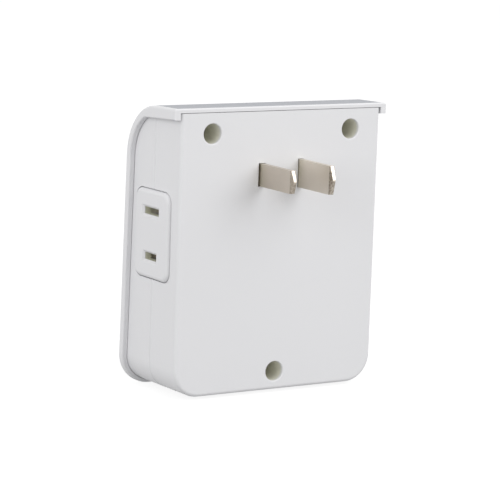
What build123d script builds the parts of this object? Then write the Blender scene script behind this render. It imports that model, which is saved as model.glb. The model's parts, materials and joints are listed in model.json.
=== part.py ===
"""A plug-in digital timer switch: a wall-plug case with a side outlet, a relay, two boards and a keypad.

Millimetres. +Y points into the wall and Y = 0 is the wall face, +Z is up and +X is to the right for someone
facing the timer. The origin lies on the wall face, midway between the two plug blades. Most sizes along Y
are given as a depth, the distance from the wall face towards the front, so a depth d lies at Y = -d.
"""

import os
from math import cos, radians, sqrt, tan

from build123d import *

os.makedirs("parts", exist_ok=True)

# ---------------------------------------------------------------- driving sizes
# Case, measured at the wall face
body_width = 65.0
body_top = 17.65  # top face above the plug axis
body_bottom = 61.3  # bottom face below the plug axis
body_corner = 7.8  # radius of the two bottom corners
side_draft = 1.2  # degrees that the sides spread towards the front
wall = 2.0
parting_depth = 13.5  # seam between the rear and the front housing
back_round = 1.0  # rounding around the wall face
seam_chamfer = 0.4

# Front cover, a sheet bent over the top of the case
cover_depth = 26.6  # depth of its front face where the bend starts
front_lean = 1.5  # degrees that the front face leans out towards the bottom
top_lean = 1.5  # degrees that the top face falls towards the front
bend_radius = 15.5
sheet = 1.2
cover_corner = 9.0  # radius of its two bottom corners
cover_gap = 0.15  # air between the sheet and the housings
side_overhang = 2.2  # beyond the case side, at the wall face
bottom_overhang = 1.0
rear_slack = 0.35  # between the rims and the case, at the wall face
front_slack = 0.1  # and at the front
rim_depth = 2.3  # rim along the front, from its outer face
rim_drop = 3.1  # rim along the top, from its outer face, at the wall face
rim_slope = 3.0  # degrees that its lower edge falls towards the front
rim_round = 0.7
rim_back_round = 0.4
rim_kink = 2.0  # radius where the rim along the top meets the bend
stake_radius = 1.0  # posts that pass the front housing and are melted over
stake_head = 1.6
stake_head_height = 0.9
stake_inset = 5.8  # from the case side at the wall face
stake_below_display = 3.0  # upper row, below the display's frame
stake_above_bottom = 6.3  # lower row

# Face overlay, a film let into the cover
overlay = 0.35
overlay_margin = 1.3
overlay_back_margin = 0.8
bond = 0.05  # glue line under films and lenses

# Plug blades
blade_pitch = 12.7
blade_length = 17.0
blade_thickness = 1.5
hot_blade_width = 6.35
neutral_blade_width = 7.94
blade_tip_bevel = 1.5
blade_tip_half = 0.4  # half the thickness left at the tip
blade_point = 1.3  # the tip's middle stands this far beyond its corners
blade_nose = 0.6  # flat left at the middle of the tip
hot_blade_gap = 0.4  # on each face of a blade, in its slot through the wall
neutral_blade_gap = 0.15
shank_width = 5.0
shoulder_extra = 2.0  # each side, beyond the blade
solder_length = 1.2  # shank beyond the power board
pin_tail = 1.2  # leads and pins beyond a board

# Case screws in their wells
screw_inset = 9.9  # from the case side at the wall face
screw_top = 11.9
screw_low = 56.0
well_radius = 2.8
well_depth = 11.0
well_rim = 0.3  # rounding around each mouth
well_wall = 1.6
screw_radius = 1.45
screw_length = 7.0
pilot_room = 0.3  # pilot holes are this much deeper than their screws
drive_radius = 1.3  # cross recess
drive_depth = 1.2
drive_slot = 0.7
screw_head_radius = 2.6
screw_head_height = 2.0
boss_radius = 3.5

# Side outlet
outlet_depth = 13.5  # middle of the pad
outlet_drop = 17.3  # below the plug axis
outlet_width = 18.5  # along the depth
outlet_height = 24.9
outlet_corner = 3.0
outlet_round = 1.2
outlet_proud = 1.1  # beyond the case side at the wall face
outlet_plate = 2.6  # thickness around the slots
outlet_gap = 0.2
outlet_flange = 1.6
flange_reach = 1.6
hot_slot_width = 6.7
neutral_slot_width = 8.2
slot_height = 2.0
slot_forward = 0.35  # from the pad's middle towards the front
slot_bevel = 0.6
shroud_length = 14.9  # from the back of the plate
shroud_wall = 1.0

# Outlet contacts
contact_sheet = 0.5
contact_width = 7.0
contact_spread = 2.3  # half the opening at the base
contact_pinch = 0.95  # half the opening where a blade is gripped
contact_pinch_depth = 4.0  # from the back of the plate
contact_mouth = 1.9  # half the opening where a blade enters
contact_mouth_depth = 1.5
contact_overhang = 1.5  # base beyond the shroud
tab_width = 2.6

# Power board and what stands on it
board_gap = 2.6  # standoff height above the back wall
power_sheet = 1.6
power_margin = 1.5  # from the case's inner side to the board's left edge
power_right = 20.5
power_top = 6.0
power_bottom = 48.5
board_corner = 2.0
board_screw_inset = 3.0
board_screw_radius = 0.95
board_screw_length = 4.0
board_screw_head = 1.9
board_screw_head_height = 1.3
post_radius = 2.2
bus_sheet = 0.6
bus_width = 4.0
neutral_bus_z = -7.0
hot_bus_z = -8.0
lead_radius = 0.35
film_z = -20.0
film_width = 8.0
film_length = 16.0
film_height = 11.0
film_corner = 0.8
film_pitch = 13.5
can_z = -37.0
can_radius = 4.0
can_height = 10.0
can_pitch = 3.5
disc_z = -19.5
disc_radius = 4.5
disc_sheet = 3.0
disc_pitch = 5.0
disc_room = 2.5  # from the disc to the outlet contacts
film_room = 2.4  # from the film capacitor to the disc
diode_count = 4
diode_z = -40.5
diode_inset = 6.1  # first diode, from the power board's left edge
diode_step = 4.0
diode_radius = 1.3
diode_length = 4.2
diode_reach = 4.0  # from its middle to each bent lead
resistor_inset = 12.6  # from the power board's left edge
resistor_z = -46.7
resistor_radius = 1.1
resistor_length = 6.3
resistor_reach = 5.0
header_x = 8.5
header_z = -44.0
header_pitch = 2.54
header_pins = 4
header_body = 2.5
header_pin = 0.64

# Relay
relay_x = -15.5
relay_z = -22.0
relay_length = 24.0
relay_width = 15.0
relay_height = 12.3
relay_wall = 0.7
relay_floor = 1.5
iron = 1.0  # yoke and armature plate
coil_radius = 3.6
core_radius = 1.5
pole_radius = 2.8
bobbin_wall = 0.6
coil_side = 2.2  # the coil stands this far off the relay's middle
contact_side = 4.9  # the contacts stand this far off it the other way
relay_travel = 4.0  # degrees that the armature swings
relay_room = 0.3  # air between the works and the case
armature_room = 2.7  # beyond the pole, for the armature's swing
pole_gap = 0.05  # left when the armature is pulled in
armature_half = 4.0
armature_reach = 8.7  # from its hinge to its free end
contact_reach = 6.0  # from the hinge to the contacts
contact_radius = 1.1
contact_height = 0.6
blade_sheet = 0.6
leaf = 0.4
leaf_width = 3.0
leaf_half = 2.5
leaf_start = 0.8  # from the hinge
relay_pin = 1.2
coil_pin_side = 3.0

# Logic board, display and keypad
logic_depth = 19.2
logic_sheet = 1.2
logic_margin = 0.9  # between the board and the outlet's flange
logic_top = 4.4
logic_bottom = 51.0
logic_screw_inset = 2.6
front_room = 23.6  # depth of the front wall's inner face
display_z = -12.8
glass_width = 45.0
glass_height = 20.6
glass_sheet = 1.6
frame_border = 1.5
frame_lip = 0.6
frame_lip_reach = 1.0
frame_peg = 0.7
frame_peg_inset = 3.0
zebra_height = 1.2
zebra_width = 2.0
window_width = 42.0
window_height = 18.0
window_corner = 1.6
window_sheet = 0.75
window_ledge = 1.2
controller_inset = 12.9  # from the logic board's edge
controller_rise = 7.0  # from its lower edge
controller_radius = 5.0
controller_height = 1.4
crystal_inset = 10.9  # from the logic board's other edge
crystal_rise = 12.5
crystal_length = 10.0
crystal_width = 4.0
crystal_height = 3.5
cell_fall = 8.6  # from the logic board's upper edge
cell_radius = 7.5
cell_sheet = 2.1
cell_drop = 0.6  # air between the cell and the logic board
clip_sheet = 0.3
clip_width = 4.0
clip_foot = 2.2

key_travel = 0.4
key_proud = 0.8
key_round = 0.4
key_gap = 0.25
key_flange = 0.9
key_flange_sheet = 0.55
key_row_1 = -31.5
key_row_2 = -44.0
key_inset = 8.9  # middle of the outer keys, from the logic board's edge
key_spacing = 3.4  # between the small keys
wide_key_spacing = 8.1  # from the wide key to the middle of the outer keys
small_key_height = 5.2
small_key_corner = 1.2
round_key_width = 6.0
round_key_height = 6.0
round_key_corner = 2.9
wide_key_height = 8.6
wide_key_corner = 4.2
switch_side = 6.0
switch_height = 2.0
plunger_radius = 1.6
plunger_engaged = 0.9

clearance = 0.15  # pieces that pass through one another
seat = 0.1  # pieces that rest on one another
thread_gap = 0.03  # screws in their pilot holes
least_flat = 0.05  # left between two rounded corners

# ---------------------------------------------------------------- worked out from them
cover_top = body_top + cover_gap + sheet
cover_bottom = body_bottom + bottom_overhang
cover_half = body_width / 2 + side_overhang
far = cover_depth + 6  # a depth beyond everything
housing_inset = sheet + cover_gap
slot_depth = outlet_depth + slot_forward
lean_slope = tan(radians(front_lean))
top_slope = tan(radians(top_lean))


def half_width(depth):
    """Half the case width at a depth; the sides are drafted."""
    return body_width / 2 + depth * tan(radians(side_draft))


def front_depth(height, inset):
    """Depth of the cover's front face at a height, moved in by inset."""
    return cover_depth + (cover_top - bend_radius - height) * lean_slope - inset / cos(radians(front_lean))


def bend_corner(inset):
    """Where the cover's top and front, moved in by inset, would meet without the bend: its (y, z)."""
    top = cover_top - inset / cos(radians(top_lean))
    depth = front_depth(top, inset) / (1 - lean_slope * top_slope)
    return -depth, top - depth * top_slope


def inner_wall_depth(height):
    """Depth of the front housing's inner face at a height."""
    return min(front_room, front_depth(height, housing_inset + wall))


power_back = wall + board_gap
power_front = power_back + power_sheet
power_tail = power_back - pin_tail  # depth at which leads end behind the power board
logic_front = logic_depth + logic_sheet
logic_tail = logic_front + pin_tail
glass_back = logic_front + zebra_height
glass_front = glass_back + glass_sheet
frame_front = glass_front + frame_lip
frame_width = glass_width + 2 * frame_border
frame_height = glass_height + 2 * frame_border
screw_x = body_width / 2 - screw_inset
screw_points = [(screw_x, screw_top), (-screw_x, screw_top), (0, -screw_low)]
screw_tip = well_depth + screw_length

pad_face = body_width / 2 + outlet_proud
plate_back = pad_face - outlet_plate
shroud_end = plate_back - shroud_length
flange_face = body_width / 2 - wall - seat
neutral_slot_z = -outlet_drop + blade_pitch / 2
hot_slot_z = -outlet_drop - blade_pitch / 2
cavity_width = neutral_slot_width + 2 * clearance
cavity_height = 2 * (contact_spread + contact_sheet + clearance)
contact_base_x = shroud_end - contact_overhang

power_left = body_width / 2 - wall - power_margin
logic_half_width = flange_face - outlet_flange - logic_margin
power_screws = [
    (x, z)
    for x in (-power_left + board_screw_inset, power_right - board_screw_inset)
    for z in (power_top - board_screw_inset, -power_bottom + board_screw_inset)
]
logic_screws = [
    (side * (logic_half_width - logic_screw_inset), z)
    for side in (-1, 1)
    for z in (logic_top - logic_screw_inset, -logic_bottom + logic_screw_inset)
]
frame_pegs = [
    (side * (glass_width + frame_border) / 2, display_z + end * (glass_height / 2 - frame_peg_inset))
    for side in (-1, 1)
    for end in (-1, 1)
]
stake_x = body_width / 2 - stake_inset
stake_rows = (display_z - frame_height / 2 - stake_below_display, stake_above_bottom - body_bottom)
stakes = [(side * stake_x, z) for side in (-1, 1) for z in stake_rows]
hot_blade_x = blade_pitch / 2
neutral_blade_x = -blade_pitch / 2

key_outer_x = logic_half_width - key_inset
key_inner_x = key_outer_x / 3
small_key_width = 2 * key_inner_x - key_spacing
wide_key_width = 2 * (key_outer_x - wide_key_spacing)
# Each key: name, x, z, width, height, corner radius
keys = [
    ("clock_key", -key_outer_x, key_row_1, small_key_width, small_key_height, small_key_corner),
    ("day_key", -key_inner_x, key_row_1, small_key_width, small_key_height, small_key_corner),
    ("hour_key", key_inner_x, key_row_1, small_key_width, small_key_height, small_key_corner),
    ("minute_key", key_outer_x, key_row_1, small_key_width, small_key_height, small_key_corner),
    ("program_key", -key_outer_x, key_row_2, round_key_width, round_key_height, round_key_corner),
    ("on_off_key", 0, key_row_2, wide_key_width, wide_key_height, wide_key_corner),
    ("random_key", key_outer_x, key_row_2, round_key_width, round_key_height, round_key_corner),
]
key_flange_front = front_room - seat
key_flange_back = key_flange_front - key_flange_sheet
plunger_front = key_flange_back - seat
plunger_back = logic_front + switch_height - plunger_engaged

# Places of the parts on the power board, and of leads and pins through the two boards
header = (header_x, header_z)
controller = (controller_inset - logic_half_width, controller_rise - logic_bottom)
crystal = (logic_half_width - crystal_inset, crystal_rise - logic_bottom)
cell = (0.0, logic_top - cell_fall)
varistor = (contact_base_x - disc_room - disc_sheet / 2, disc_z)
film_capacitor = (varistor[0] - disc_sheet / 2 - film_room - film_width / 2, film_z)
electrolytic_capacitor = (film_capacitor[0], can_z)
resistor = (resistor_inset - power_left, resistor_z)
film_leads = [(film_capacitor[0], film_capacitor[1] + end * film_pitch / 2) for end in (-1, 1)]
can_leads = [(electrolytic_capacitor[0] + end * can_pitch / 2, electrolytic_capacitor[1]) for end in (-1, 1)]
disc_leads = [(varistor[0], varistor[1] + end * disc_pitch / 2) for end in (-1, 1)]
diode_places = [(diode_inset - power_left + i * diode_step, diode_z) for i in range(diode_count)]
diode_leads = [(x, z + end * diode_reach) for x, z in diode_places for end in (-1, 1)]
resistor_leads = [(resistor[0] + end * resistor_reach, resistor[1]) for end in (-1, 1)]
header_places = [
    (header[0] + (i - (header_pins - 1) / 2) * header_pitch, header[1]) for i in range(header_pins)
]

# Relay: the coil lies along Z, the yoke bends over it and the armature hangs from the yoke's lower end
relay_floor_front = power_front + relay_floor
relay_top = power_front + relay_height
yoke_front = relay_top - relay_wall - relay_room
yoke_back = yoke_front - iron
bobbin_radius = coil_radius + bobbin_wall
coil_depth = yoke_back - seat - bobbin_radius
coil_x = relay_x - coil_side
contact_x = relay_x + contact_side
relay_inner_top = relay_z + relay_length / 2 - relay_wall
leg_z = relay_inner_top - relay_room - iron
pole_z = relay_z - relay_length / 2 + relay_wall + armature_room
head_z = pole_z + iron
hinge_z = pole_z - pole_gap
bobbin_low = head_z + seat
bobbin_high = leg_z - seat
bobbin_bore = core_radius + seat
contact_depth = yoke_front - contact_reach
fixed_contact_z = hinge_z - iron + contact_height + pole_gap
coil_pins = [(coil_x + end * coil_pin_side, bobbin_high - bobbin_wall / 2) for end in (-1, 1)]
yoke_pin = (coil_x, leg_z + iron / 2)
fixed_pin = (contact_x, fixed_contact_z + contact_height + blade_sheet / 2)
hot_tab = (contact_base_x + contact_sheet / 2, hot_slot_z)
neutral_tab = (contact_base_x + contact_sheet / 2, neutral_slot_z)


# ---------------------------------------------------------------- ways of adding and cutting
def rod(places, radius, near, end, mode=Mode.ADD):
    """Round rods along the depth, one at each (x, z) place, between two depths."""
    with BuildSketch(Plane.XZ.offset(near)) as section:
        with Locations(*places):
            Circle(radius)
    extrude(section.sketch, amount=end - near, mode=mode)


def bar(places, width, height, near, end, mode=Mode.ADD):
    """Square-cornered bars along the depth, one at each (x, z) place, between two depths."""
    with BuildSketch(Plane.XZ.offset(near)) as section:
        with Locations(*places):
            Rectangle(width, height)
    extrude(section.sketch, amount=end - near, mode=mode)


def rounded_bar(places, width, height, corner, near, end, mode=Mode.ADD):
    """Bars with rounded corners, which half the width or height may limit."""
    limit = (min(width, height) - least_flat) / 2
    with BuildSketch(Plane.XZ.offset(near)) as section:
        with Locations(*places):
            RectangleRounded(width, height, min(corner, limit))
    extrude(section.sketch, amount=end - near, mode=mode)


def across(places, width, height, near, end, mode=Mode.ADD):
    """Bars across the case from x = near to x = end, one at each (depth, z) place."""
    with BuildSketch(Plane.YZ.offset(near)) as section:
        with Locations(*[(-depth, z) for depth, z in places]):
            Rectangle(width, height)
    extrude(section.sketch, amount=end - near, mode=mode)


def upright(places, radius, low, high, mode=Mode.ADD):
    """Round rods along Z, one at each (x, depth) place, between two heights."""
    with BuildSketch(Plane.XY.offset(low)) as section:
        with Locations(*[(x, -depth) for x, depth in places]):
            Circle(radius)
    extrude(section.sketch, amount=high - low, mode=mode)


def finish(piece, name):
    """Label a finished piece and write its STEP file."""
    piece.part.label = name
    export_step(piece.part, f"parts/{name}.step")


# ---------------------------------------------------------------- solids that others are cut from
def case_block(near, end, top, inset, end_inset=None):
    """The case's drafted block between two depths, moved in by an inset at each, with a square top."""
    with BuildPart() as block:
        for depth, inset in ((near, inset), (end, inset if end_inset is None else end_inset)):
            low = -body_bottom + inset
            with BuildSketch(Plane.XZ.offset(depth)) as outline:
                with Locations((0, (low + top) / 2)):
                    Rectangle(2 * (half_width(depth) - inset), top - low)
                fillet(outline.vertices().group_by(Axis.Y)[0], body_corner - inset)
        loft()
    return block.part


def bent_prism(inset, back=0.0, top_drop=0.0):
    """All that lies behind the cover's outer face moved in by inset, and below a drop from its top."""
    corner_y, corner_z = bend_corner(inset)
    low = -cover_bottom - sheet
    with BuildPart() as prism:
        with BuildSketch(Plane.YZ) as side:
            with BuildLine():
                Polyline(
                    (back, low),
                    (back, corner_z + (back - corner_y) * top_slope),
                    (corner_y, corner_z),
                    (-front_depth(low, inset), low),
                    close=True,
                )
            make_face()
            corner = side.vertices().sort_by_distance((corner_y, corner_z, 0))[0]
            fillet(corner, bend_radius - inset)
            if top_drop > inset:
                fall = tan(radians(rim_slope))
                with BuildLine():
                    Polyline(
                        (back, cover_top - top_drop + back * fall),
                        (-far, cover_top - top_drop - far * fall),
                        (-far, cover_top + sheet),
                        (back, cover_top + sheet),
                        close=True,
                    )
                make_face(mode=Mode.SUBTRACT)
                underside = side.vertices().sort_by(lambda v: v.Y - v.X * fall)[-2:]
                fillet(underside.sort_by(Axis.X)[0], rim_kink)
        extrude(amount=cover_half + sheet, both=True)
    return prism.part


def cover_outline(margin, back):
    """The cover's front outline less a margin at the sides and the bottom, from y = back to the front."""
    low = -cover_bottom + margin
    half = cover_half - margin
    with BuildPart() as outline:
        with BuildSketch(Plane.XZ.offset(-back)) as face:
            with Locations((0, (low + cover_top + sheet) / 2)):
                Rectangle(2 * half, cover_top + sheet - low)
            fillet(face.vertices().group_by(Axis.Y)[0], cover_corner - margin)
        extrude(amount=far + back)
    return outline.part


with BuildPart() as case_solid:
    add(case_block(0, far, body_top, inset=0))
    add(bent_prism(housing_inset, back=1.0), mode=Mode.INTERSECT)

with BuildPart() as room:
    add(case_block(wall, front_room, body_top - wall, inset=wall))
    add(bent_prism(housing_inset + wall, back=1.0), mode=Mode.INTERSECT)

with BuildPart() as outlet_opening:
    with BuildSketch(Plane.YZ.offset(flange_face - seat)):
        with Locations((-outlet_depth, -outlet_drop)):
            RectangleRounded(
                outlet_width + 2 * outlet_gap, outlet_height + 2 * outlet_gap, outlet_corner + outlet_gap
            )
    extrude(amount=cover_half)


def key_holes(near):
    """Cut the openings for all the keys, from a depth out through the front."""
    for _, x, z, width, height, corner in keys:
        rounded_bar(
            [(x, z)], width + 2 * key_gap, height + 2 * key_gap, corner + key_gap, near, far, Mode.SUBTRACT
        )


# ---------------------------------------------------------------- rear housing
with BuildPart() as rear_housing:
    add(case_solid.part)
    split(bisect_by=Plane.XZ.offset(parting_depth), keep=Keep.BOTTOM)
    wall_face = rear_housing.faces().sort_by(Axis.Y)[-1]
    fillet(wall_face.outer_wire().edges().sort_by(Axis.Z)[:-1], back_round)
    seam = rear_housing.faces().sort_by(Axis.Y)[0]
    chamfer(seam.outer_wire().edges(), seam_chamfer)
    add(room.part, mode=Mode.SUBTRACT)
    rod(screw_points, well_radius + well_wall, wall, parting_depth)
    rod(power_screws, post_radius, wall, power_back)
    rod(screw_points, well_radius, 0, well_depth, Mode.SUBTRACT)
    fillet(rear_housing.edges(Select.LAST).group_by(Axis.Y)[-1], well_rim)
    rod(screw_points, screw_radius + clearance, well_depth, parting_depth, Mode.SUBTRACT)
    board_pilot = power_front - board_screw_length - pilot_room
    rod(power_screws, board_screw_radius + thread_gap, board_pilot, power_back, Mode.SUBTRACT)
    for x, width, gap in (
        (hot_blade_x, hot_blade_width, hot_blade_gap),
        (neutral_blade_x, neutral_blade_width, neutral_blade_gap),
    ):
        bar([(x, 0)], blade_thickness + 2 * gap, width + 2 * seat, 0, wall, Mode.SUBTRACT)
    add(outlet_opening.part, mode=Mode.SUBTRACT)
finish(rear_housing, "rear_housing")

# ---------------------------------------------------------------- front housing
with BuildPart() as front_housing:
    add(case_solid.part)
    split(bisect_by=Plane.XZ.offset(parting_depth), keep=Keep.TOP)
    seam = front_housing.faces().sort_by(Axis.Y)[-1]
    chamfer(seam.outer_wire().edges(), seam_chamfer)
    add(room.part, mode=Mode.SUBTRACT)
    rod(screw_points, boss_radius, parting_depth, far)
    rod(logic_screws, post_radius, logic_front, front_room + wall / 2)
    add(case_solid.part, mode=Mode.INTERSECT)
    rod(screw_points, screw_radius + thread_gap, parting_depth, screw_tip + pilot_room, Mode.SUBTRACT)
    logic_pilot = logic_depth + board_screw_length + pilot_room
    rod(logic_screws, board_screw_radius + thread_gap, logic_front, logic_pilot, Mode.SUBTRACT)
    rod(stakes, stake_radius + clearance, logic_front, far, Mode.SUBTRACT)
    rounded_bar(
        [(0, display_z)],
        frame_width + 2 * clearance,
        frame_height + 2 * clearance,
        frame_border,
        logic_front,
        far,
        Mode.SUBTRACT,
    )
    key_holes(front_room - wall / 2)
    add(outlet_opening.part, mode=Mode.SUBTRACT)
finish(front_housing, "front_housing")

# ---------------------------------------------------------------- front cover
def edges_across(found):
    """Those edges that run round the cover's sides and bottom, not straight across it."""
    low = -cover_bottom + rim_round
    return [e for e in found if abs(e.tangent_at(0.5).X) < 0.9 or e.center().Z < low]


with BuildPart() as case_space:
    add(case_block(-seat, far, cover_top, inset=-rear_slack, end_inset=-front_slack))
    add(bent_prism(sheet, back=1.0), mode=Mode.INTERSECT)

with BuildPart() as overlay_bed:
    add(cover_outline(overlay_margin, -overlay_back_margin))
    add(bent_prism(overlay + bond, back=1.0), mode=Mode.SUBTRACT)

with BuildPart() as window_bed:
    window_side = 2 * clearance
    rounded_bar(
        [(0, display_z)],
        window_width + window_side,
        window_height + window_side,
        window_corner + clearance,
        front_room,
        far,
    )
    add(bent_prism(window_sheet + bond, back=1.0), mode=Mode.SUBTRACT)

with BuildPart() as front_cover:
    add(bent_prism(0))
    add(cover_outline(0, 0), mode=Mode.INTERSECT)
    shown = front_cover.faces().filter_by(lambda f: f.normal_at().Y < -0.5 or f.normal_at().Z > 0.5)
    fillet(edges_across(shown.edges()), rim_round)
    add(bent_prism(rim_depth, back=1.0, top_drop=rim_drop), mode=Mode.SUBTRACT)
    behind = front_cover.faces(Select.LAST).filter_by(lambda f: f.center().Y < -rim_depth)
    fillet(edges_across(behind.edges()), rim_back_round)
    add(case_space.part, mode=Mode.SUBTRACT)
    for x, z in stakes:
        head_front = inner_wall_depth(z + stake_head) - seat
        rod([(x, z)], stake_radius, head_front - stake_head_height, front_depth(z, sheet) + sheet / 4)
        rod([(x, z)], stake_head, head_front - stake_head_height, head_front)
    add(overlay_bed.part, mode=Mode.SUBTRACT)
    add(window_bed.part, mode=Mode.SUBTRACT)
    rounded_bar(
        [(0, display_z)],
        window_width - 2 * window_ledge,
        window_height - 2 * window_ledge,
        window_corner,
        front_room + wall,
        far,
        Mode.SUBTRACT,
    )
    key_holes(front_room + wall)
finish(front_cover, "front_cover")

with BuildPart() as face_overlay:
    add(cover_outline(overlay_margin + seat, -overlay_back_margin - seat))
    add(bent_prism(0), mode=Mode.INTERSECT)
    add(bent_prism(overlay, back=1.0), mode=Mode.SUBTRACT)
    rounded_bar(
        [(0, display_z)],
        window_width + window_side,
        window_height + window_side,
        window_corner + clearance,
        front_room,
        far,
        Mode.SUBTRACT,
    )
    key_holes(front_room)
finish(face_overlay, "face_overlay")

with BuildPart() as display_window:
    rounded_bar([(0, display_z)], window_width, window_height, window_corner, front_room, far)
    add(bent_prism(0), mode=Mode.INTERSECT)
    add(bent_prism(window_sheet, back=1.0), mode=Mode.SUBTRACT)
finish(display_window, "display_window")

# ---------------------------------------------------------------- case screws
with BuildPart() as case_screws:
    rod(screw_points, screw_head_radius, well_depth - screw_head_height, well_depth)
    head_rims = case_screws.edges().group_by(Axis.Y)[-1]
    chamfer(head_rims, drive_slot / 2)
    rod(screw_points, screw_radius, well_depth, screw_tip)
    drive_end = well_depth - screw_head_height + drive_depth
    bar(screw_points, 2 * drive_radius, drive_slot, 0, drive_end, Mode.SUBTRACT)
    bar(screw_points, drive_slot, 2 * drive_radius, 0, drive_end, Mode.SUBTRACT)
finish(case_screws, "case_screws")


# ---------------------------------------------------------------- plug blades
def plug_blade(name, x, width, shoulder_front):
    """One blade of the plug, with a shoulder behind the wall and a shank soldered to the power board."""
    root = -wall - seat
    half = blade_thickness / 2
    with BuildPart() as blade:
        with BuildSketch(Plane.XY.offset(-width / 2)):
            with BuildLine():
                Polyline(
                    (x - half, root),
                    (x - half, blade_length - blade_tip_bevel),
                    (x - blade_tip_half, blade_length),
                    (x + blade_tip_half, blade_length),
                    (x + half, blade_length - blade_tip_bevel),
                    (x + half, root),
                    close=True,
                )
            make_face()
        extrude(amount=width)
        with BuildSketch(Plane.YZ.offset(x)):
            with BuildLine():
                Polyline(
                    (root, -width / 2),
                    (blade_length - blade_point, -width / 2),
                    (blade_length, -blade_nose / 2),
                    (blade_length, blade_nose / 2),
                    (blade_length - blade_point, width / 2),
                    (root, width / 2),
                    close=True,
                )
            make_face()
        extrude(amount=blade_thickness, both=True, mode=Mode.INTERSECT)
        bar([(x, 0)], blade_thickness, width + 2 * shoulder_extra, -root, shoulder_front)
        bar([(x, 0)], blade_thickness, shank_width, shoulder_front, power_front + solder_length)
    finish(blade, name)


plug_blade("hot_blade", hot_blade_x, hot_blade_width, power_back - bus_sheet - seat)
plug_blade("neutral_blade", neutral_blade_x, neutral_blade_width, power_back - seat)

# ---------------------------------------------------------------- side outlet
flange_half = outlet_gap + flange_reach
flange_near = max(wall + seat, outlet_depth - outlet_width / 2 - flange_half)
flange_high = -outlet_drop + outlet_height / 2 + flange_half
flange_far = min(inner_wall_depth(flange_high) - seat, outlet_depth + outlet_width / 2 + flange_half)
slot_places = [(neutral_slot_z, neutral_slot_width), (hot_slot_z, hot_slot_width)]
cavities = [(slot_depth, z) for z, _ in slot_places]
with BuildPart() as outlet_faceplate:
    with BuildSketch(Plane.YZ.offset(flange_face)):
        with Locations((-outlet_depth, -outlet_drop)):
            RectangleRounded(outlet_width, outlet_height, outlet_corner)
    extrude(amount=pad_face - flange_face)
    fillet(outlet_faceplate.faces().sort_by(Axis.X)[-1].edges(), outlet_round)
    across(
        [((flange_near + flange_far) / 2, -outlet_drop)],
        flange_far - flange_near,
        outlet_height + 2 * flange_half,
        flange_face - outlet_flange,
        flange_face,
    )
    across(
        cavities,
        cavity_width + 2 * shroud_wall,
        cavity_height + 2 * shroud_wall,
        shroud_end,
        flange_face - outlet_flange,
    )
    across(cavities, cavity_width, cavity_height, shroud_end, plate_back, Mode.SUBTRACT)
    for z, width in slot_places:
        across([(slot_depth, z)], width, slot_height, plate_back, pad_face, Mode.SUBTRACT)
    mouths = outlet_faceplate.faces().filter_by(Axis.X).sort_by(Axis.X)[-1].inner_wires().edges()
    chamfer(mouths, slot_bevel)
finish(outlet_faceplate, "outlet_faceplate")


def outlet_contact(name, z):
    """A folded contact that grips a blade between two sprung leaves, with a tab to the power board."""
    foot = contact_base_x
    pinch_x = plate_back - contact_pinch_depth
    mouth_x = plate_back - contact_mouth_depth
    leaf_inside = [(foot + contact_sheet, contact_spread), (pinch_x, contact_pinch), (mouth_x, contact_mouth)]
    leaf_outside = [(mouth_x, contact_mouth), (pinch_x, contact_pinch), (foot, contact_spread)]
    upper = [(x, z + side) for x, side in leaf_inside]
    upper += [(x, z + side + contact_sheet) for x, side in leaf_outside]
    lower = [(x, 2 * z - height) for x, height in reversed(upper)]
    with BuildPart() as contact:
        with BuildSketch(Plane.XZ.offset(slot_depth - contact_width / 2)):
            with BuildLine():
                Polyline(*upper, *lower, close=True)
            make_face()
        extrude(amount=contact_width)
        bar([(foot + contact_sheet / 2, z)], contact_sheet, tab_width, power_tail, slot_depth)
    finish(contact, name)


outlet_contact("hot_outlet_contact", hot_slot_z)
outlet_contact("neutral_outlet_contact", neutral_slot_z)

# ---------------------------------------------------------------- power board and its copper strips
power_middle = ((power_right - power_left) / 2, (power_top - power_bottom) / 2)
strip_holes = [(hot_blade_x, 0), (neutral_blade_x, 0)]
pin_hole = 2 * seat


def lead_slots(near, end):
    """Cut the slots for the blades, the outlet tabs and the relay's two power pins."""
    bar(strip_holes, blade_thickness + pin_hole, shank_width + pin_hole, near, end, Mode.SUBTRACT)
    bar([hot_tab, neutral_tab], contact_sheet + pin_hole, tab_width + pin_hole, near, end, Mode.SUBTRACT)
    bar([yoke_pin], relay_pin + pin_hole, iron + pin_hole, near, end, Mode.SUBTRACT)
    bar([fixed_pin], relay_pin + pin_hole, blade_sheet + pin_hole, near, end, Mode.SUBTRACT)


with BuildPart() as power_board:
    power_size = (power_left + power_right, power_top + power_bottom)
    rounded_bar([power_middle], *power_size, board_corner, power_back, power_front)
    rod(power_screws, board_screw_radius + clearance, power_back, power_front, Mode.SUBTRACT)
    lead_slots(power_back, power_front)
    leads = film_leads + can_leads + disc_leads + diode_leads + resistor_leads + coil_pins
    rod(leads, lead_radius + seat, power_back, power_front, Mode.SUBTRACT)
    bar(header_places, header_pin + pin_hole, header_pin + pin_hole, power_back, power_front, Mode.SUBTRACT)
finish(power_board, "power_board")

with BuildPart() as power_board_screws:
    rod(power_screws, board_screw_head, power_front, power_front + board_screw_head_height)
    rod(power_screws, board_screw_radius, power_front - board_screw_length, power_front)
finish(power_board_screws, "power_board_screws")


def bus_strip(name, points, near):
    """A flat copper strip along a chain of points, with slots for what is soldered into it."""
    with BuildPart() as strip:
        for (x1, z1), (x2, z2) in zip(points, points[1:]):
            middle = ((x1 + x2) / 2, (z1 + z2) / 2)
            bar([middle], abs(x1 - x2) + bus_width, abs(z1 - z2) + bus_width, near, near + bus_sheet)
        lead_slots(near, near + bus_sheet)
    finish(strip, name)


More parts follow.
